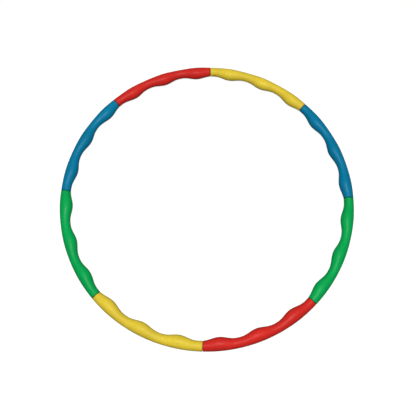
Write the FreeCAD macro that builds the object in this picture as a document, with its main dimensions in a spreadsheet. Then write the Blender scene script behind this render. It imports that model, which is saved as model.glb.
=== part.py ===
import FreeCAD, Part
import math
import os

import Sketcher

# A rhythmic hoop of eight coloured tubes. Seen from +Z the sections run clockwise from +Y, the
# hoop's top. Section 1 starts at +Y; plug 8 is the one that enters it there. Each piece is drawn
# once, at that joint, and the other seven are the same piece turned about the hoop's axis, Z.
# The hoop lies flat: its swells touch z = 0, and the origin is below its centre.

SECTIONS = 8
COLOURS = ("yellow", "blue", "green", "red", "yellow", "green", "blue", "red")
STATIONS_PER_SWELL = 10
SWELL_SHARPNESS = 1.25
PLUG_RIBS = 4
SMALLEST_CUT = 1.0  # mm3, less than any pocket here removes
PAST_FACE = 0.5  # mm, how far a chamfer's outline reaches past the faces it cuts

# Driving dimensions, in mm and degrees. Each is a named cell of the sheet.
DIMENSIONS = {
    "hoop_radius": 400.0,       # outer rim, a plain circle
    "neck_radius": 12.3,        # tube's radius between two swells
    "swell_radius": 16.3,       # tube's radius at a swell's crest
    "swell_pitch": 15.0,        # angle from one swell to the next
    "first_swell": 8.9,         # angle from a section's start to its first swell
    "seam_gap": 0.6,            # between two tubes' end faces
    "wall": 1.3,                # blown wall of the hollow stretch
    "rim_chamfer": 1.3,         # broken outer edge of each end face
    "joint_radius": 387.5,      # hoop's centre to the plugs' axes
    "bore_radius": 9.6,         # straight bore of both tube ends
    "socket_depth": 34.0,       # bore that takes the neighbour's plug
    "root_depth": 27.0,         # bore that the tube's own plug is pressed into
    "hollow_overlap": 2.0,      # how far the blown hollow runs into each bore
    "sleeve_radius": 9.3,       # outside of the plug, apart from its ribs
    "plug_bore": 6.9,           # plug's own through bore
    "root_length": 25.0,        # pressed end of the plug
    "root_lead": 1.0,           # bevel on the pressed end
    "rib_radius": 9.7,          # crest of a rib, a press fit in the bore
    "rib_length": 3.0,
    "rib_gap": 2.0,             # plain stretch between two ribs
    "nose_length": 30.0,        # free end of the plug
    "taper_length": 3.0,        # lead-in at the nose's tip
    "taper_depth": 1.2,
    "button_place": 12.5,       # seam to the button's axis
    "button_radius": 3.0,
    "button_reach": 12.0,       # plug's axis to the button's face
    "button_chamfer": 0.7,
    "flange_radius": 4.3,       # keeps the button in its plug
    "flange_place": 5.1,        # plug's axis to the flange's outer face
    "flange_length": 1.4,
    "cup_radius": 2.1,          # hollow of the button, where the spring sits
    "cup_floor": 10.2,          # plug's axis to the hollow's floor
    "guide_clearance": 0.1,     # button in its plug's hole
    "window_clearance": 0.3,    # button in the neighbour tube's hole
    "peg_radius": 1.0,          # peg that holds the spring's other end
    "peg_height": 3.5,
    "peg_root": 0.5,            # how far the peg is sunk into the plug's wall
    "coil_radius": 1.6,         # middle of the spring's wire
    "wire_radius": 0.25,
    "coil_pitch": 2.4,
    "coil_gap": 0.06,           # wire to the faces it presses on, at rest
}

# Where a button's axis, and its spring's, crosses its plug's axis.
BUTTON_AXIS = ("[button_place]", "[joint_radius]", "[swell_radius]")

doc = FreeCAD.newDocument("rhythmic_hoop")


def make_sheet():
    """Put every driving dimension into an aliased cell."""
    sheet = doc.addObject("Spreadsheet::Sheet", "sheet")
    for row, (alias, value) in enumerate(DIMENSIONS.items(), start=1):
        sheet.set(f"A{row}", alias)
        sheet.set(f"B{row}", str(value))
        sheet.setAlias(f"B{row}", alias)
    doc.recompute()


def dimension(alias):
    return DIMENSIONS[alias]


def bind(formula):
    """Turn dimension names written in square brackets into references to the sheet."""
    return formula.replace("[", "sheet.").replace("]", "")


def new_body(label):
    body = doc.addObject("PartDesign::Body", label)
    body.Label = label
    return body


def new_sketch(body, name, plane_role, turn=0.0, shift=("0", "0", "0")):
    """A sketch on one of the body's origin planes, shifted, and turned clockwise about Z."""
    sketch = body.newObject("Sketcher::SketchObject", name)
    plane = next(f for f in body.Origin.OriginFeatures if f.Role == plane_role)
    sketch.AttachmentSupport = [(plane, "")]
    sketch.MapMode = "FlatFace"
    if turn:
        upright = FreeCAD.Vector(0, 0, 1) if plane_role == "XY_Plane" else FreeCAD.Vector(0, 1, 0)
        turned = FreeCAD.Rotation(upright, -turn)
        sketch.AttachmentOffset = FreeCAD.Placement(FreeCAD.Vector(), turned)
    for axis, formula in zip("xyz", shift):
        if formula != "0":
            sketch.setExpression(f"AttachmentOffset.Base.{axis}", bind(formula))
    return sketch


def constrain(sketch, constraint, formula):
    index = sketch.addConstraint(constraint)
    sketch.setExpression(f"Constraints[{index}]", bind(formula))


def add_circle(sketch, across, up, radius):
    """A circle whose centre and radius are formulas."""
    middle = FreeCAD.Vector(1, 1, 0)
    circle = sketch.addGeometry(Part.Circle(middle, FreeCAD.Vector(0, 0, 1), 1), False)
    constrain(sketch, Sketcher.Constraint("DistanceX", -1, 1, circle, 3, 1), across)
    constrain(sketch, Sketcher.Constraint("DistanceY", -1, 1, circle, 3, 1), up)
    constrain(sketch, Sketcher.Constraint("Radius", circle, 1), radius)


def evaluate(formula):
    """A formula's value, for a sketch's first guess."""
    plain = doc.addObject("App::FeaturePython", "value")
    plain.addProperty("App::PropertyFloat", "Value")
    plain.setExpression("Value", bind(formula))
    plain.recompute()
    value = plain.Value
    doc.removeObject(plain.Name)
    return value


def add_outline(sketch, corners):
    """A closed outline of straight lines through corners given as pairs of formulas."""
    points = [FreeCAD.Vector(evaluate(x), evaluate(y), 0) for x, y in corners]
    count = len(points)
    for i in range(count):
        sketch.addGeometry(Part.LineSegment(points[i], points[(i + 1) % count]), False)
    for i in range(count):
        sketch.addConstraint(Sketcher.Constraint("Coincident", i, 2, (i + 1) % count, 1))
    for i, (x, y) in enumerate(corners):
        constrain(sketch, Sketcher.Constraint("DistanceX", -1, 1, i, 1, points[i].x), x)
        constrain(sketch, Sketcher.Constraint("DistanceY", -1, 1, i, 1, points[i].y), y)


def add_pocket(body, name, sketch, length, reverse=False):
    """Cut a sketch into the body and make sure that it removed something."""
    doc.recompute()
    before = body.Shape.Volume
    pocket = body.newObject("PartDesign::Pocket", name)
    pocket.Profile = sketch
    pocket.setExpression("Length", bind(length))
    pocket.Reversed = reverse
    doc.recompute()
    if body.Shape.Volume > before - SMALLEST_CUT:
        raise RuntimeError(f"{name} cuts nothing")
    return pocket


def revolve(body, name, sketch, axis):
    revolution = body.newObject("PartDesign::Revolution", name)
    revolution.Profile = sketch
    revolution.ReferenceAxis = (sketch, [axis])
    revolution.Angle = 360
    doc.recompute()
    return revolution


def tube_radius(angle):
    """Formula of the tube's radius at an angle past the section's start."""
    wave = f"(1 + cos(360 deg * ({angle:.5f} - [first_swell]) / [swell_pitch])) / 2"
    return f"([neck_radius] + ([swell_radius] - [neck_radius]) * pow({wave}; {SWELL_SHARPNESS}))"


def add_stations(body, name, first, last, inset):
    """Circles across the tube at even angles, all tangent to the outer rim less the inset."""
    swells = (last - first) / dimension("swell_pitch")
    steps = math.ceil(swells * STATIONS_PER_SWELL)
    sketches = []
    for k in range(steps + 1):
        angle = first + (last - first) * k / steps
        sketch = new_sketch(body, f"{name}_{k}", "YZ_Plane", turn=angle)
        radius = tube_radius(angle)
        across = f"[hoop_radius] - {radius}"
        add_circle(sketch, across, "[swell_radius]", f"{radius} - {inset}")
        sketches.append(sketch)
    return sketches


def add_loft(body, kind, name, sketches):
    loft = body.newObject(f"PartDesign::{kind}", name)
    loft.Profile = sketches[0]
    loft.Sections = [(sketch, [""]) for sketch in sketches[1:]]
    doc.recompute()
    return loft


def chamfer_end(body, name, angle, inward):
    """Break the outer edge of an end face; inward is the side the tube lies on."""
    radius = tube_radius(angle)
    centre = f"([hoop_radius] - {radius})"
    shift = (f"{centre} * sin({angle:.5f} deg)", f"{centre} * cos({angle:.5f} deg)", "[swell_radius]")
    corner = new_sketch(body, f"{name}_corner", "XY_Plane", turn=angle, shift=shift)
    add_outline(corner, [
        (f"{-inward * PAST_FACE}", f"{radius} - [rim_chamfer] - {PAST_FACE}"),
        (f"{inward} * ([rim_chamfer] + {PAST_FACE})", f"{radius} + {PAST_FACE}"),
        (f"{-inward * PAST_FACE}", f"{radius} + {PAST_FACE}"),
    ])
    groove = body.newObject("PartDesign::Groove", name)
    groove.Profile = corner
    groove.ReferenceAxis = (corner, ["H_Axis"])
    groove.Angle = 360
    doc.recompute()


def make_tube(label):
    """One section's hollow tube with three swells and a straight bore in each end."""
    body = new_body(label)
    section_angle = 360 / SECTIONS
    joint_radius = dimension("joint_radius")
    trim = math.degrees(math.asin(dimension("seam_gap") / 2 / joint_radius))
    start, end = trim, section_angle - trim
    add_loft(body, "AdditiveLoft", "form", add_stations(body, "station", start, end, "0"))

    chamfer_end(body, "start_chamfer", start, 1)
    chamfer_end(body, "end_chamfer", end, -1)

    # The blown hollow overlaps both bores by a little, so that they open into it.
    overlap = dimension("hollow_overlap")
    hollow_start = math.degrees((dimension("socket_depth") - overlap) / joint_radius)
    hollow_end = section_angle - math.degrees((dimension("root_depth") - overlap) / joint_radius)
    hollow = add_stations(body, "hollow_station", hollow_start, hollow_end, "[wall]")
    add_loft(body, "SubtractiveLoft", "hollow", hollow)

    socket = new_sketch(body, "socket_circle", "YZ_Plane")
    add_circle(socket, "[joint_radius]", "[swell_radius]", "[bore_radius]")
    add_pocket(body, "socket", socket, "[socket_depth]", reverse=True)

    root = new_sketch(body, "root_circle", "YZ_Plane", turn=section_angle)
    add_circle(root, "[joint_radius]", "[swell_radius]", "[bore_radius]")
    add_pocket(body, "root_bore", root, "[root_depth]")

    # The window runs from the hoop's middle outwards and stops at the bore's axis.
    window = new_sketch(body, "window_circle", "XZ_Plane")
    radius = "[button_radius] + [window_clearance]"
    add_circle(window, "[button_place]", "[swell_radius]", radius)
    add_pocket(body, "window", window, "[joint_radius]")
    return body


def make_plug(label):
    """The connector: ribbed root in its own tube, smooth nose in the neighbour's socket."""
    body = new_body(label)
    on_axis = ("0", "[joint_radius]", "[swell_radius]")
    profile = new_sketch(body, "profile", "XY_Plane", shift=on_axis)
    corners = [
        ("-[root_length]", "[plug_bore]"),
        ("-[root_length]", "[sleeve_radius] - [root_lead]"),
    ]
    for k in range(PLUG_RIBS):
        low = f"[root_lead] - [root_length] + {k} * ([rib_length] + [rib_gap])"
        high = f"{low} + [rib_length]"
        corners += [(low, "[sleeve_radius]"), (high, "[rib_radius]"), (high, "[sleeve_radius]")]
    corners += [
        ("[nose_length] - [taper_length]", "[sleeve_radius]"),
        ("[nose_length]", "[sleeve_radius] - [taper_depth]"),
        ("[nose_length]", "[plug_bore]"),
    ]
    add_outline(profile, corners)
    revolve(body, "sleeve", profile, "H_Axis")

    guide = new_sketch(body, "guide_circle", "XZ_Plane")
    radius = "[button_radius] + [guide_clearance]"
    add_circle(guide, "[button_place]", "[swell_radius]", radius)
    add_pocket(body, "guide", guide, "[joint_radius]")

    # The peg stands on the far wall of the bore, sunk a little into it.
    foot = "[joint_radius] + [plug_bore] + [peg_root]"
    peg = new_sketch(body, "peg_circle", "XZ_Plane", shift=("0", "0", f"-({foot})"))
    add_circle(peg, "[button_place]", "[swell_radius]", "[peg_radius]")
    pad = body.newObject("PartDesign::Pad", "peg")
    pad.Profile = peg
    pad.setExpression("Length", bind("[peg_height] + [peg_root]"))
    doc.recompute()
    return body


def make_button(label):
    """The catch: face just under the inner rim, flange inside the plug, hollow for the spring."""
    body = new_body(label)
    profile = new_sketch(body, "profile", "XY_Plane", shift=BUTTON_AXIS)
    face = "-[button_reach]"
    flange_back = "-[flange_place] + [flange_length]"
    add_outline(profile, [
        ("0", face),
        ("[button_radius] - [button_chamfer]", face),
        ("[button_radius]", f"{face} + [button_chamfer]"),
        ("[button_radius]", "-[flange_place]"),
        ("[flange_radius]", "-[flange_place]"),
        ("[flange_radius]", flange_back),
        ("[cup_radius]", flange_back),
        ("[cup_radius]", "-[cup_floor]"),
        ("0", "-[cup_floor]"),
    ])
    revolve(body, "turned", profile, "V_Axis")
    return body


def make_spring(label):
    """The coil between the button's hollow and the plug's far wall."""
    body = new_body(label)
    wire = new_sketch(body, "wire", "XY_Plane", shift=BUTTON_AXIS)
    start = "-[cup_floor] + [wire_radius] + [coil_gap]"
    add_circle(wire, "[coil_radius]", start, "[wire_radius]")
    coil = body.newObject("PartDesign::AdditiveHelix", "coil")
    coil.Profile = wire
    coil.ReferenceAxis = (wire, ["V_Axis"])
    coil.Mode = "pitch-height-angle"
    coil.setExpression("Pitch", bind("[coil_pitch]"))
    side = "sqrt([plug_bore] ^ 2 - ([coil_radius] + [wire_radius]) ^ 2)"
    room = f"{side} + [cup_floor] - 2 * ([wire_radius] + [coil_gap])"
    coil.setExpression("Height", bind(room))
    doc.recompute()
    return body


def copy_turned(master, label, joint):
    """The same piece at another joint, counted clockwise from the top."""
    if not joint:
        master.Label = label
        return master
    body = doc.addObject("PartDesign::Body", label)
    body.Label = label
    same = body.newObject("PartDesign::FeatureBase", f"{label}_form")
    same.BaseFeature = master
    body.Tip = same
    body.Placement = FreeCAD.Placement(
        FreeCAD.Vector(), FreeCAD.Rotation(FreeCAD.Vector(0, 0, 1), -joint * 360 / SECTIONS)
    )
    return body


make_sheet()
tube = make_tube("tube")
plug = make_plug("plug")
button = make_button("button")
spring = make_spring("spring")

pieces = []
for section, colour in enumerate(COLOURS, start=1):
    start_joint = section - 1
    end_joint = section % SECTIONS
    pieces.append(copy_turned(tube, f"tube_{section}_{colour}", start_joint))
    pieces.append(copy_turned(plug, f"plug_{section}", end_joint))
    pieces.append(copy_turned(button, f"button_{section}", end_joint))
    pieces.append(copy_turned(spring, f"spring_{section}", end_joint))
doc.recompute()

for item in doc.Objects:
    if {"Invalid", "Error"} & set(item.State):
        raise RuntimeError(f"{item.Label} failed: {item.State}")
for piece in pieces:
    if piece.Shape.isNull() or not piece.Shape.isValid():
        raise RuntimeError(f"{piece.Label} has no valid shape")

os.makedirs("parts", exist_ok=True)
for piece in pieces:
    piece.Shape.exportStep(f"parts/{piece.Label}.step")
    print(piece.Label, round(piece.Shape.Volume), "mm3", len(piece.Shape.Solids), "solid")
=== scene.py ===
import math

import bmesh
import bpy
from mathutils import Matrix, Vector


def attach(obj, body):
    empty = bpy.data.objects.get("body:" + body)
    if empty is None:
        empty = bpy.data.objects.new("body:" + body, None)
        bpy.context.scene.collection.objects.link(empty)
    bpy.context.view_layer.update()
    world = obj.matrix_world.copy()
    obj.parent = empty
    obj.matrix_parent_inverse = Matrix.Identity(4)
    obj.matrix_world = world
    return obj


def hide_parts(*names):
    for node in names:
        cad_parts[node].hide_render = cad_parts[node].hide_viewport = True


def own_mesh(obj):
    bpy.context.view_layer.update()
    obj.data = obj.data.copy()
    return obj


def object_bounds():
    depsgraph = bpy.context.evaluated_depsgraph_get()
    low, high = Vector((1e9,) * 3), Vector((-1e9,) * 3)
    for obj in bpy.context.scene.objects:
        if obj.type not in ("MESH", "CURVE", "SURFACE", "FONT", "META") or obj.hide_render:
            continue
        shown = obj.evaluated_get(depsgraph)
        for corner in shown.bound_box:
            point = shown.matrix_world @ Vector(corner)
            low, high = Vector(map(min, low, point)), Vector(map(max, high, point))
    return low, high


# A rhythmic hoop of eight coloured snap-together tubes, lying flat. Lengths are in metres and
# angles in degrees. Every piece is drawn once, at the seam on +Y, and turned to its own seam.

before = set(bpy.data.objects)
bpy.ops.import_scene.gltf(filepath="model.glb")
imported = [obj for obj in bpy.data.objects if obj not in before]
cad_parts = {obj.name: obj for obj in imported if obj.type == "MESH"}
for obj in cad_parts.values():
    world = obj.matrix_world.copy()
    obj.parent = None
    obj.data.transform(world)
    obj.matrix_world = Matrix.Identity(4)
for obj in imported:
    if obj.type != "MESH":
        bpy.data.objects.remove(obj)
cad_low, cad_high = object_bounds()

MM = 0.001
SECTIONS = 8
SECTION_ANGLE = 360 / SECTIONS
COLOURS = ("yellow", "blue", "green", "red", "yellow", "green", "blue", "red")

# Sizes that the frame gives.
hoop_radius = (cad_high.x - cad_low.x) / 2
mid_height = (cad_low.z + cad_high.z) / 2
swell_radius = (cad_high.z - cad_low.z) / 2

# The tube's wave and its ends.
NECK_RADIUS = 12.3 * MM
SWELL_PITCH = 15.0
FIRST_SWELL = 8.9
SWELL_SHARPNESS = 1.25
HALF_GAP = 0.3 * MM
END_ROUND = 1.3 * MM
WALL = 1.3 * MM

# The straight joint between two tubes.
JOINT_RADIUS = 387.5 * MM
BORE_RADIUS = 9.6 * MM
SOCKET_DEPTH = 34.0 * MM
ROOT_DEPTH = 27.0 * MM
MOUTH_CHAMFER = 0.5 * MM
ROOT_CHAMFER = 0.3 * MM
ROOT_CHAMFER_LENGTH = 0.4 * MM
BUTTON_PLACE = 12.5 * MM
WINDOW_RADIUS = 3.3 * MM
WINDOW_ROUND = 0.45 * MM

# The plug, its button and the button's spring.
PLUG_BORE = 6.9 * MM
PLUG_ROUND = 0.35 * MM
SLEEVE_RADIUS = 9.3 * MM
NOSE_LENGTH = 30.0 * MM
TAPER_LENGTH = 3.0 * MM
TAPER_DEPTH = 1.2 * MM
ROOT_LENGTH = 25.0 * MM
ROOT_LEAD = 1.0 * MM
RIB_RADIUS = 9.6 * MM
RIB_LENGTH = 3.0 * MM
RIB_STEP = 5.0 * MM
RIB_BACK = 0.3 * MM
RIB_COUNT = 4
GUIDE_RADIUS = 3.1 * MM
PEG_RADIUS = 1.0 * MM
PEG_HEIGHT = 3.5 * MM
PEG_ROOT = 0.5 * MM
PEG_ROUND = 0.4 * MM
BUTTON_RADIUS = 3.0 * MM
BUTTON_REACH = 12.0 * MM
BUTTON_DOME = 0.4 * MM
BUTTON_ROUND = 0.6 * MM
SKIRT_ROUND = 0.2 * MM
FLANGE_RADIUS = 4.3 * MM
FLANGE_PLACE = 5.1 * MM
FLANGE_LENGTH = 1.4 * MM
CUP_RADIUS = 2.1 * MM
CUP_FLOOR = 10.2 * MM
COIL_RADIUS = 1.6 * MM
WIRE_RADIUS = 0.25 * MM
COIL_TURNS = 7.5
COIL_GAP = 0.06 * MM
CLOSED_RISE = 2.1 * WIRE_RADIUS

# The two mould halves meet on the hoop's mid-plane and leave a fine raised line.
MOULD_LINE_HEIGHT = 0.10 * MM
MOULD_LINE_HALF_WIDTH = 0.35 * MM

# How finely surfaces are drawn: angles along and round the tube, and points in a quarter turn.
SKIN_STEP = 0.5
FIRST_SKIN_STEP = 0.25
ROUND_STEP = 5.0
BESIDE_MOULD_LINE = 3.4
HOLLOW_STEPS = 50
QUARTER_STEPS = 5
CORNER_STEPS = 4
SHARP_ANGLE = 35

# How strongly shade is painted on a tube's rounded end, where it meets its face and its skin, and on its
# mouth, so that each seam reads darker.
FACE_SEAM_SHADE = 0.35
RIM_SEAM_SHADE = 0.65
MOUTH_SEAM_SHADE = 0.6


def clockwise(angle):
    """Outward direction at an angle clockwise from +Y, seen from +Z."""
    turn = math.radians(angle)
    return Vector((math.sin(turn), math.cos(turn), 0))


def tube_radius(angle):
    """Tube's radius at an angle past its section's start."""
    wave = (1 + math.cos(math.radians(360 * (angle - FIRST_SWELL) / SWELL_PITCH))) / 2
    return NECK_RADIUS + (swell_radius - NECK_RADIUS) * wave ** SWELL_SHARPNESS


# ---------------------------------------------------------------- mesh building

def around_tube():
    """Angles round the tube from the outer rim, closer together beside the two mould lines."""
    fine = math.degrees(MOULD_LINE_HALF_WIDTH / NECK_RADIUS)
    beside = [fine * 0.5, fine, fine * 1.6, BESIDE_MOULD_LINE]
    half = [0] + beside
    half += [ROUND_STEP * k for k in range(1, round(180 / ROUND_STEP))]
    half += [180 - a for a in reversed(beside)]
    return half + [180] + [360 - a for a in reversed(half[1:])]


def mould_line(angle_round):
    """Height of the raised line at an angle round the tube."""
    off = min(angle_round % 180, 180 - angle_round % 180)
    spread = math.degrees(MOULD_LINE_HALF_WIDTH / NECK_RADIUS)
    return MOULD_LINE_HEIGHT * max(0.0, 1 - (off / spread) ** 2)


class Rings:
    """Collects rings of points and joins each to the next into a surface."""

    def __init__(self, angles):
        self.angles = angles
        self.points = []
        self.along = []
        self.edge = []

    def add(self, centre, outward, radius, along, edge=0.0, ridge=False):
        """A ring about a centre, with or without the mould line's ridge."""
        ring = []
        up = Vector((0, 0, 1))
        for angle in self.angles:
            turn = math.radians(angle)
            reach = radius + (mould_line(angle) if ridge else 0)
            ring.append(centre + outward * (math.cos(turn) * reach) + up * (math.sin(turn) * reach))
        self.points.append(ring)
        self.along.append(along)
        self.edge.append(edge)

    def mesh(self, name):
        """A closed mesh, with lengths along and round it as UVs, and nearness to a rim as an attribute that
        sets how much seam shade is painted.
        """
        bm = bmesh.new()
        uv = bm.loops.layers.uv.new("lengths")
        rim = bm.verts.layers.float.new("rim")
        rings = []
        for ring, edge in zip(self.points, self.edge):
            verts = [bm.verts.new(p) for p in ring]
            for v in verts:
                v[rim] = edge
            rings.append(verts)
        count = len(self.angles)
        for k in range(len(rings)):
            here, there = rings[k], rings[(k + 1) % len(rings)]
            last = k == len(rings) - 1
            u0, u1 = self.along[k], self.along[k] if last else self.along[k + 1]
            for n in range(count):
                m = (n + 1) % count
                face = bm.faces.new((here[n], here[m], there[m], there[n]))
                v0 = math.radians(self.angles[n]) * NECK_RADIUS
                v1 = math.radians(self.angles[m] or 360) * NECK_RADIUS
                for loop, at in zip(face.loops, ((u0, v0), (u0, v1), (u1, v1), (u1, v0))):
                    loop[uv].uv = at
        bmesh.ops.recalc_face_normals(bm, faces=bm.faces)
        return finish_mesh(bm, name)


def smooth(mesh):
    """Shade smooth, except across edges that turn by more than the sharp angle."""
    mesh.shade_smooth()
    mesh.set_sharp_from_angle(angle=math.radians(SHARP_ANGLE))
    return mesh


def finish_mesh(bm, name):
    """Turn a bmesh into a smooth mesh."""
    mesh = bpy.data.meshes.new(name)
    bm.to_mesh(mesh)
    bm.free()
    return smooth(mesh)


def new_object(name, mesh):
    """An object that holds the mesh, in the scene."""
    obj = bpy.data.objects.new(name, mesh)
    bpy.context.scene.collection.objects.link(obj)
    return obj


def rounded(corners, radius):
    """A profile's corners, each replaced by a small curve of that reach, except on the axis."""
    out = []
    count = len(corners)
    for k, corner in enumerate(corners):
        here = Vector(corner)
        before, after = Vector(corners[k - 1]), Vector(corners[(k + 1) % count])
        on_axis = here.y < 1e-9
        reach = min(radius, (before - here).length * 0.45, (after - here).length * 0.45)
        if on_axis or reach < 1e-6:
            out.append(here)
            continue
        start = here + (before - here).normalized() * reach
        end = here + (after - here).normalized() * reach
        for n in range(CORNER_STEPS + 1):
            t = n / CORNER_STEPS
            out.append(start * (1 - t) ** 2 + here * (2 * t * (1 - t)) + end * t ** 2)
    return out


def lathe(name, profile, origin, axis, side, steps=64):
    """Turn a closed profile of (along, radius) pairs about an axis."""
    other = axis.cross(side)
    bm = bmesh.new()
    columns = []
    for k in range(steps):
        turn = 2 * math.pi * k / steps
        spoke = side * math.cos(turn) + other * math.sin(turn)
        columns.append([bm.verts.new(origin + axis * p[0] + spoke * p[1]) for p in profile])
    for k in range(steps):
        here, there = columns[k], columns[(k + 1) % steps]
        for n in range(len(profile)):
            m = (n + 1) % len(profile)
            if profile[n][1] < 1e-9 and profile[m][1] < 1e-9:
                continue
            bm.faces.new((here[n], here[m], there[m], there[n]))
    bmesh.ops.remove_doubles(bm, verts=bm.verts, dist=1e-7)
    bmesh.ops.recalc_face_normals(bm, faces=bm.faces)
    return finish_mesh(bm, name)


def combine(obj, tool_mesh, operation):
    """Cut a closed mesh out of the object, or join it on, and keep the result as its mesh."""
    tool = new_object("tool", tool_mesh)
    modifier = obj.modifiers.new("combine", "BOOLEAN")
    modifier.operation = operation
    modifier.solver = "EXACT"
    modifier.object = tool
    bpy.context.view_layer.update()
    ready = obj.evaluated_get(bpy.context.evaluated_depsgraph_get())
    mesh = bpy.data.meshes.new_from_object(ready)
    obj.modifiers.clear()
    obj.data = smooth(mesh)
    bpy.data.objects.remove(tool)


# ---------------------------------------------------------------- the tube

def inner_rim(x, z):
    """Where the tube's surface on the hoop's inner side lies at x past the seam and z up."""
    reach = JOINT_RADIUS - NECK_RADIUS
    for _ in range(4):
        angle = math.degrees(math.asin(x / reach))
        radius = tube_radius(angle)
        reach = hoop_radius - radius - math.sqrt(max(radius ** 2 - z ** 2, 0))
    return reach * math.cos(math.radians(angle))


def window_cutter():
    """Cylinder whose flared mouth follows the tube, which leaves a rounded edge."""
    bm = bmesh.new()
    rings = []
    levels = [(WINDOW_RADIUS, JOINT_RADIUS)]
    for k in range(QUARTER_STEPS + 1):
        turn = math.radians(90 * k / QUARTER_STEPS)
        levels.append((WINDOW_RADIUS + WINDOW_ROUND * (1 - math.cos(turn)), -math.sin(turn)))
    levels.append((WINDOW_RADIUS + WINDOW_ROUND, -4))
    steps = 72
    for radius, level in levels:
        ring = []
        for k in range(steps):
            turn = 2 * math.pi * k / steps
            x = BUTTON_PLACE + radius * math.cos(turn)
            z = radius * math.sin(turn)
            y = level if level > 0 else inner_rim(x, z) + WINDOW_ROUND * (1 + level)
            ring.append(bm.verts.new((x, y, mid_height + z)))
        rings.append(ring)
    for here, there in zip(rings, rings[1:]):
        for k in range(steps):
            m = (k + 1) % steps
            bm.faces.new((here[k], here[m], there[m], there[k]))
    bm.faces.new(rings[0])
    bm.faces.new(rings[-1])
    bmesh.ops.recalc_face_normals(bm, faces=bm.faces)
    return finish_mesh(bm, "window_cutter")


def tube_mesh():
    """Outer skin with three swells, rounded ends, two straight bores and the blown hollow."""
    rings = Rings(around_tube())
    middle = Vector((0, 0, mid_height))
    trim = math.degrees(HALF_GAP / JOINT_RADIUS)
    start, end = trim, SECTION_ANGLE - trim
    end_axis = clockwise(SECTION_ANGLE) * JOINT_RADIUS + middle
    end_tangent = clockwise(SECTION_ANGLE + 90)
    start_axis = clockwise(0) * JOINT_RADIUS + middle
    start_tangent = clockwise(90)

    def skin(angle, inset=0.0, edge=0.0, ridge=False):
        radius = tube_radius(angle)
        centre = clockwise(angle) * (hoop_radius - radius) + middle
        length = math.radians(angle) * JOINT_RADIUS
        rings.add(centre, clockwise(angle), radius - inset, length, edge, ridge)

    def bore(axis, tangent, outward, depth, radius, edge=0.0):
        rings.add(axis + tangent * depth, outward, radius, depth, edge)

    def rounded_end(angle, inward, order):
        """Quarter round from the end face to the skin, or back."""
        for k in order:
            turn = math.radians(90 * k / QUARTER_STEPS)
            shift = math.degrees(END_ROUND * (1 - math.sin(turn)) / JOINT_RADIUS)
            inset = END_ROUND * (1 - math.cos(turn))
            # Painted seam shade: strongest at the end face, fading towards the skin.
            skin(angle + inward * shift, inset, edge=FACE_SEAM_SHADE + RIM_SEAM_SHADE * k / QUARTER_STEPS)

    # From the start's mouth, over the rounded end, along the skin to the other end.
    mouth_radius = BORE_RADIUS + MOUTH_CHAMFER
    # The mouth's ring carries painted seam shade.
    bore(start_axis, start_tangent, clockwise(0), HALF_GAP, mouth_radius, edge=MOUTH_SEAM_SHADE)
    rounded_end(start, 1, range(QUARTER_STEPS, -1, -1))
    first = math.degrees((HALF_GAP + END_ROUND) / JOINT_RADIUS) + FIRST_SKIN_STEP
    span = SECTION_ANGLE - 2 * first
    count = round(span / SKIN_STEP)
    for k in range(count + 1):
        skin(first + span * k / count, ridge=True)
    rounded_end(end, -1, range(QUARTER_STEPS + 1))

    # Back through the root's bore, the hollow and the socket.
    outward = clockwise(SECTION_ANGLE)
    # The root's mouth carries painted seam shade too.
    bore(end_axis, end_tangent, outward, -HALF_GAP, BORE_RADIUS + ROOT_CHAMFER, edge=MOUTH_SEAM_SHADE)
    bore(end_axis, end_tangent, outward, -HALF_GAP - ROOT_CHAMFER_LENGTH, BORE_RADIUS)
    for depth in (0.25, 0.5, 0.75, 1.0):
        bore(end_axis, end_tangent, outward, -ROOT_DEPTH * depth, BORE_RADIUS)
    hollow_end = SECTION_ANGLE - math.degrees(ROOT_DEPTH / JOINT_RADIUS)
    hollow_start = math.degrees(SOCKET_DEPTH / JOINT_RADIUS)
    for k in range(HOLLOW_STEPS + 1):
        skin(hollow_end + (hollow_start - hollow_end) * k / HOLLOW_STEPS, inset=WALL)
    for depth in (1.0, 0.75, 0.5, 0.25):
        bore(start_axis, start_tangent, clockwise(0), SOCKET_DEPTH * depth, BORE_RADIUS)
    mouth = HALF_GAP + MOUTH_CHAMFER
    bore(start_axis, start_tangent, clockwise(0), mouth, BORE_RADIUS)

    tube = new_object("tube_pattern", rings.mesh("tube_pattern"))
    combine(tube, window_cutter(), "DIFFERENCE")
    mesh = tube.data
    bpy.data.objects.remove(tube)
    return mesh


# ---------------------------------------------------------------- plug, button, spring

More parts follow.
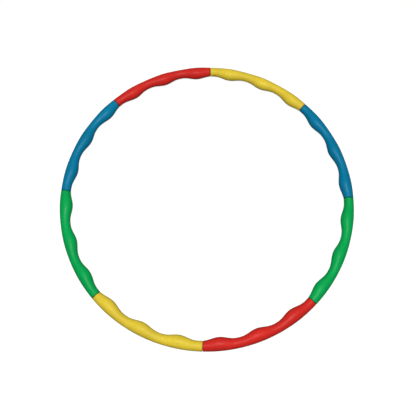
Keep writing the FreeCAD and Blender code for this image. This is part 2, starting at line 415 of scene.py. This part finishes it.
def plug_mesh():
    """Ribbed root, smooth nose with a rounded tip, guide hole for the button, spring peg."""
    outline = [(-ROOT_LENGTH, PLUG_BORE), (-ROOT_LENGTH, SLEEVE_RADIUS - ROOT_LEAD)]
    for k in range(RIB_COUNT):
        low = ROOT_LEAD - ROOT_LENGTH + k * RIB_STEP
        outline += [
            (low, SLEEVE_RADIUS),
            (low + RIB_LENGTH, RIB_RADIUS),
            (low + RIB_LENGTH + RIB_BACK, SLEEVE_RADIUS),
        ]
    outline += [
        (NOSE_LENGTH - TAPER_LENGTH, SLEEVE_RADIUS),
        (NOSE_LENGTH, SLEEVE_RADIUS - TAPER_DEPTH),
        (NOSE_LENGTH, PLUG_BORE),
    ]
    axis_point = Vector((0, JOINT_RADIUS, mid_height))
    across, outward, up = Vector((1, 0, 0)), Vector((0, 1, 0)), Vector((0, 0, 1))
    mesh = lathe("plug_pattern", rounded(outline, PLUG_ROUND), axis_point, across, outward, 72)
    plug = new_object("plug_pattern", mesh)
    at = Vector((BUTTON_PLACE, 0, mid_height))
    hole = [(0, 0), (0, GUIDE_RADIUS), (JOINT_RADIUS, GUIDE_RADIUS), (JOINT_RADIUS, 0)]
    combine(plug, lathe("guide", hole, at, outward, up, 48), "DIFFERENCE")
    wall = JOINT_RADIUS + PLUG_BORE
    tip = wall - PEG_HEIGHT
    foot = wall + PEG_ROOT
    peg = rounded([(tip, 0), (tip, PEG_RADIUS), (foot, PEG_RADIUS)], PEG_ROUND)
    peg.append(Vector((foot, 0)))
    combine(plug, lathe("peg", peg, at, outward, up, 32), "UNION")
    mesh = plug.data
    bpy.data.objects.remove(plug)
    return mesh


def button_mesh():
    """Domed face, rounded edge, flange and the hollow that the spring sits in."""
    face = -BUTTON_REACH
    dome = []
    steps = 8
    flat_reach = BUTTON_RADIUS - BUTTON_ROUND
    for k in range(steps + 1):
        out = flat_reach * k / steps
        dome.append(Vector((face + BUTTON_DOME * (k / steps) ** 2, out)))
    for k in range(1, QUARTER_STEPS + 1):
        turn = math.radians(90 * k / QUARTER_STEPS)
        drop = BUTTON_DOME + BUTTON_ROUND * (1 - math.cos(turn))
        dome.append(Vector((face + drop, flat_reach + BUTTON_ROUND * math.sin(turn))))
    back = -FLANGE_PLACE + FLANGE_LENGTH
    # The first corner only leads into the flange, so its own points are left out below.
    lead = -FLANGE_PLACE - BUTTON_RADIUS
    skirt = rounded([
        (lead, BUTTON_RADIUS),
        (-FLANGE_PLACE, BUTTON_RADIUS),
        (-FLANGE_PLACE, FLANGE_RADIUS),
        (back, FLANGE_RADIUS),
        (back, CUP_RADIUS),
        (-CUP_FLOOR, CUP_RADIUS),
        (-CUP_FLOOR, 0),
    ], SKIRT_ROUND)
    at = Vector((BUTTON_PLACE, JOINT_RADIUS, mid_height))
    outward, up = Vector((0, 1, 0)), Vector((0, 0, 1))
    return lathe("button_pattern", dome + skirt[CORNER_STEPS + 1:], at, outward, up, 64)


def spring_mesh():
    """Coil with closed ends, from the button's hollow to the plug's far wall."""
    start = -CUP_FLOOR + WIRE_RADIUS + COIL_GAP
    reach = COIL_RADIUS + WIRE_RADIUS
    end = math.sqrt(PLUG_BORE ** 2 - reach ** 2) - WIRE_RADIUS - COIL_GAP
    steps_per_turn, sides = 28, 10
    steps = int(COIL_TURNS * steps_per_turn)
    at = Vector((BUTTON_PLACE, JOINT_RADIUS, mid_height))

    def height(turns):
        """Closed end turns rise by one wire, and the open ones share the rest."""
        open_turns = COIL_TURNS - 2
        free = (end - start) - 2 * CLOSED_RISE
        if turns < 1:
            return CLOSED_RISE * turns
        if turns > COIL_TURNS - 1:
            return end - start - CLOSED_RISE * (COIL_TURNS - turns)
        return CLOSED_RISE + free * (turns - 1) / open_turns

    bm = bmesh.new()
    rings = []
    for k in range(steps + 1):
        turns = COIL_TURNS * k / steps
        turn = 2 * math.pi * turns
        spoke = Vector((math.cos(turn), 0, math.sin(turn)))
        centre = at + spoke * COIL_RADIUS + Vector((0, start + height(turns), 0))
        ring = []
        for n in range(sides):
            a = 2 * math.pi * n / sides
            offset = spoke * math.cos(a) + Vector((0, 1, 0)) * math.sin(a)
            ring.append(bm.verts.new(centre + offset * WIRE_RADIUS))
        rings.append(ring)
    for here, there in zip(rings, rings[1:]):
        for n in range(sides):
            m = (n + 1) % sides
            bm.faces.new((here[n], here[m], there[m], there[n]))
    bm.faces.new(rings[0])
    bm.faces.new(rings[-1])
    bmesh.ops.recalc_face_normals(bm, faces=bm.faces)
    return finish_mesh(bm, "spring_pattern")


# ---------------------------------------------------------------- materials

class Nodes:
    """Short helpers for one material's node tree."""

    def __init__(self, name):
        self.material = bpy.data.materials.new(name)
        self.material.use_nodes = True
        self.tree = self.material.node_tree
        self.tree.nodes.clear()
        self.shader = self.add("ShaderNodeBsdfPrincipled")
        output = self.add("ShaderNodeOutputMaterial")
        self.link(self.shader.outputs[0], output.inputs["Surface"])

    def add(self, kind, **settings):
        node = self.tree.nodes.new(kind)
        for key, value in settings.items():
            setattr(node, key, value)
        return node

    def link(self, source, target):
        self.tree.links.new(source, target)

    def noise(self, source, scale, detail=2.0, roughness=0.5):
        node = self.add("ShaderNodeTexNoise")
        node.inputs["Scale"].default_value = scale
        node.inputs["Detail"].default_value = detail
        node.inputs["Roughness"].default_value = roughness
        self.link(source, node.inputs["Vector"])
        return node.outputs["Fac"]

    def remap(self, source, low, high, to_low, to_high):
        node = self.add("ShaderNodeMapRange")
        for key, value in (("From Min", low), ("From Max", high), ("To Min", to_low), ("To Max", to_high)):
            node.inputs[key].default_value = value
        self.link(source, node.inputs["Value"])
        return node.outputs["Result"]

    def math(self, operation, first, second):
        node = self.add("ShaderNodeMath", operation=operation)
        for socket, value in zip(node.inputs, (first, second)):
            if isinstance(value, (int, float)):
                socket.default_value = value
            else:
                self.link(value, socket)
        return node.outputs[0]

    def mix(self, amount, first, second):
        node = self.add("ShaderNodeMix", data_type="RGBA")
        for socket, value in zip((node.inputs[0], node.inputs[6], node.inputs[7]), (amount, first, second)):
            if isinstance(value, (int, float)):
                socket.default_value = value
            elif isinstance(value, tuple):
                socket.default_value = (*value, 1)
            else:
                self.link(value, socket)
        return node.outputs[2]

    def bump(self, height, strength, distance, under=None):
        node = self.add("ShaderNodeBump")
        node.inputs["Strength"].default_value = strength
        node.inputs["Distance"].default_value = distance
        self.link(height, node.inputs["Height"])
        if under is not None:
            self.link(under, node.inputs["Normal"])
        return node.outputs["Normal"]


def moulded_plastic(name, colour, roughness=0.40):
    """Satin polyethylene: cloudy colour, fine orange peel, lengthwise scuffs, and painted shade darkening
    the rims at each seam.
    """
    n = Nodes(name)
    place = n.add("ShaderNodeTexCoord").outputs["Object"]
    lengths = n.add("ShaderNodeUVMap", uv_map="lengths").outputs["UV"]
    stretch = n.add("ShaderNodeMapping")
    stretch.inputs["Scale"].default_value = (6, 160, 1)
    n.link(lengths, stretch.inputs["Vector"])

    clouds = n.noise(place, 14, 3)
    mottle = n.noise(place, 220, 3, 0.6)
    streaks = n.noise(stretch.outputs["Vector"], 3.0, 4, 0.7)
    scuffs = n.remap(streaks, 0.62, 0.78, 0, 1)
    patches = n.remap(n.noise(place, 22, 2), 0.45, 0.65, 0, 1)
    scuffs = n.math("MULTIPLY", scuffs, patches)

    deep = tuple(c * 0.86 for c in colour)
    bright = tuple(min(1.0, c * 1.10) for c in colour)
    pale = tuple(min(1.0, c * 0.85 + 0.08) for c in colour)
    # Painted shade: a dark copy of the colour for the seams' rounded ends and mouths.
    seam_shade_colour = tuple(c * 0.22 + 0.002 for c in colour)
    tint = n.mix(n.remap(clouds, 0.3, 0.7, 0, 1), deep, bright)
    tint = n.mix(n.remap(mottle, 0.35, 0.70, 0, 0.8), tint, deep)
    tint = n.mix(n.math("MULTIPLY", scuffs, 0.12), tint, pale)
    # How much seam shade is painted: the rim attribute, made a little uneven by noise.
    rim = n.add("ShaderNodeAttribute", attribute_name="rim").outputs["Fac"]
    painted_seam_shade = n.math("MULTIPLY", rim, n.remap(n.noise(place, 420, 3), 0.35, 0.7, 0.7, 1.0))
    tint = n.mix(painted_seam_shade, tint, seam_shade_colour)
    n.link(tint, n.shader.inputs["Base Color"])

    rough = n.remap(n.noise(place, 60, 3), 0.3, 0.7, roughness - 0.05, roughness + 0.06)
    rough = n.math("ADD", rough, n.math("MULTIPLY", scuffs, 0.14))
    # Where the seam shade is painted, the roughness also rises.
    rough = n.math("ADD", rough, n.math("MULTIPLY", painted_seam_shade, 0.2))
    n.link(rough, n.shader.inputs["Roughness"])

    waviness = n.bump(n.noise(place, 90, 1), 0.40, 0.0007)
    dimples = n.bump(n.noise(place, 320, 1), 0.45, 0.00030, waviness)
    peel = n.bump(n.noise(place, 900, 2), 0.30, 0.00012, dimples)
    scratch = n.bump(scuffs, 0.25, 0.00005, peel)
    n.link(scratch, n.shader.inputs["Normal"])

    n.shader.inputs["IOR"].default_value = 1.5
    n.shader.inputs["Specular IOR Level"].default_value = 0.09
    return n.material


def spring_wire(name, colour):
    """Drawn steel wire with fine drawing marks and a faint heat tint."""
    n = Nodes(name)
    place = n.add("ShaderNodeTexCoord").outputs["Object"]
    marks = n.noise(place, 2500, 3)
    tint = n.mix(n.remap(n.noise(place, 300, 2), 0.3, 0.7, 0, 1), colour, (0.42, 0.40, 0.37))
    n.link(tint, n.shader.inputs["Base Color"])
    n.link(n.remap(marks, 0.3, 0.7, 0.24, 0.42), n.shader.inputs["Roughness"])
    n.link(n.bump(marks, 0.2, 0.00003), n.shader.inputs["Normal"])
    n.shader.inputs["Metallic"].default_value = 1.0
    return n.material


def floor_paper():
    """Pale diffuser sheet, lit from below as on a light table, so that shadows stay faint."""
    n = Nodes("floor_paper")
    place = n.add("ShaderNodeTexCoord").outputs["Object"]
    fibre = n.noise(place, 60, 4)
    n.link(n.mix(n.remap(fibre, 0.3, 0.7, 0, 1), (0.235, 0.238, 0.232), (0.245, 0.248, 0.242)),
           n.shader.inputs["Base Color"])
    n.shader.inputs["Roughness"].default_value = 0.9
    n.shader.inputs["Specular IOR Level"].default_value = 0.05
    n.shader.inputs["Emission Color"].default_value = (0.98, 1.0, 0.97, 1)
    n.shader.inputs["Emission Strength"].default_value = 0.86
    return n.material


PLASTICS = {
    "yellow": (0.70, 0.525, 0.040),
    "blue": (0.0015, 0.175, 0.322),
    "green": (0.0015, 0.350, 0.077),
    "red": (0.588, 0.022, 0.016),
}


# ---------------------------------------------------------------- assembly

def place_copy(name, pattern, joint, material, body, node):
    """A copy of a pattern at a seam, counted clockwise from the one on +Y."""
    mesh = pattern.copy()
    mesh.transform(Matrix.Rotation(math.radians(-joint * SECTION_ANGLE), 4, "Z"))
    mesh.materials.clear()
    mesh.materials.append(material)
    obj = new_object(name, mesh)
    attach(obj, body)
    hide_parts(node)
    return obj


def build_hoop():
    plastics = {c: moulded_plastic(f"{c}_plastic", PLASTICS[c]) for c in PLASTICS}
    steel = spring_wire("spring_steel", (0.55, 0.55, 0.56))
    tube, plug, button, spring = tube_mesh(), plug_mesh(), button_mesh(), spring_mesh()
    for section, colour in enumerate(COLOURS, start=1):
        start, end = section - 1, section % SECTIONS
        own, slot = f"section_{section}", f"{colour}_plastic"
        plastic = plastics[colour]
        node = f"tube_{section}_{colour}"
        place_copy(f"{colour}_tube_{section}", tube, start, plastic, own, node)
        node = f"plug_{section}"
        place_copy(f"plug_of_{section}", plug, end, plastic, own, node)
        # A button shows in the next tube's window, and has that tube's colour.
        seen = COLOURS[end]
        node, body = f"button_{section}", f"catch_{section}"
        place_copy(f"button_of_{section}", button, end, plastics[seen], body, node)
        node = f"spring_{section}"
        coil = place_copy(f"spring_of_{section}", spring, end, steel, own, node)
        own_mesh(coil)
    for pattern in (tube, plug, button, spring):
        bpy.data.meshes.remove(pattern)


def sweep_mesh():
    """Seamless studio sweep: a round floor that curves up into a wall."""
    flat, bend, top = 5.0, 3.0, 9.0
    profile = [(0.0, 0.0), (0.0, flat)]
    steps = 16
    for k in range(1, steps + 1):
        turn = math.radians(90 * k / steps)
        profile.append((bend * (1 - math.cos(turn)), flat + bend * math.sin(turn)))
    profile.append((top, flat + bend))
    bm = bmesh.new()
    sides = 96
    columns = []
    for k in range(sides):
        spoke = clockwise(360 * k / sides)
        columns.append([bm.verts.new(spoke * reach + Vector((0, 0, height))) for height, reach in profile])
    for k in range(sides):
        here, there = columns[k], columns[(k + 1) % sides]
        for n in range(1, len(profile)):
            corners = (here[n - 1], here[n], there[n], there[n - 1])
            bm.faces.new(corners[:3] if n == 1 else corners)
    bmesh.ops.remove_doubles(bm, verts=bm.verts, dist=1e-6)
    bmesh.ops.recalc_face_normals(bm, faces=bm.faces)
    return finish_mesh(bm, "floor")


def build_stage():
    """Pale seamless sweep, a faint even sky and two soft lights."""
    floor = new_object("floor", sweep_mesh())
    floor.data.materials.append(floor_paper())
    # The tubes neither catch the sweep's light nor mirror it, so that their sides stay deep.
    floor.visible_diffuse = False
    floor.visible_glossy = False
    floor.visible_shadow = False

    world = bpy.data.worlds.new("studio")
    bpy.context.scene.world = world
    world.use_nodes = True
    sky = world.node_tree.nodes["Background"]
    sky.inputs["Color"].default_value = (1, 1, 1, 1)
    sky.inputs["Strength"].default_value = 0.14

    # The key stands beside the camera, so that the tubes hide the shadows they throw.
    soft_light("key_light", place=Vector((0.0, -0.10, 1.35)), size=0.5, power=20.9)
    soft_light("rim_light", place=Vector((-0.5, 2.4, 1.5)), size=1.4, power=5)


def soft_light(name, place, size, power):
    """A round area light that faces the origin."""
    data = bpy.data.lights.new(name, "AREA")
    data.shape = "DISK"
    data.size = size
    data.energy = power
    light = bpy.data.objects.new(name, data)
    bpy.context.scene.collection.objects.link(light)
    light.location = place
    light.rotation_euler = (-place).to_track_quat("-Z", "Y").to_euler()


def build_camera():
    """Looks down on the hoop, a little from its lower side."""
    lean, twist = 14.2, 1.46
    distance, aside, above = 2.27, 0.0076, -0.0907
    tilt = Matrix.Rotation(math.radians(lean), 4, "X")
    turn = Matrix.Rotation(math.radians(twist), 4, "Z")
    data = bpy.data.cameras.new("camera")
    data.sensor_width = 36
    data.lens = 28.64
    camera = bpy.data.objects.new("camera", data)
    bpy.context.scene.collection.objects.link(camera)
    offset = Matrix.Translation(Vector((aside, above, distance)) * hoop_radius)
    lift = Matrix.Translation(Vector((0, 0, mid_height)))
    camera.matrix_world = turn @ lift @ tilt @ offset
    bpy.context.scene.camera = camera


build_hoop()
build_stage()
build_camera()
bpy.context.scene.view_settings.view_transform = "Standard"
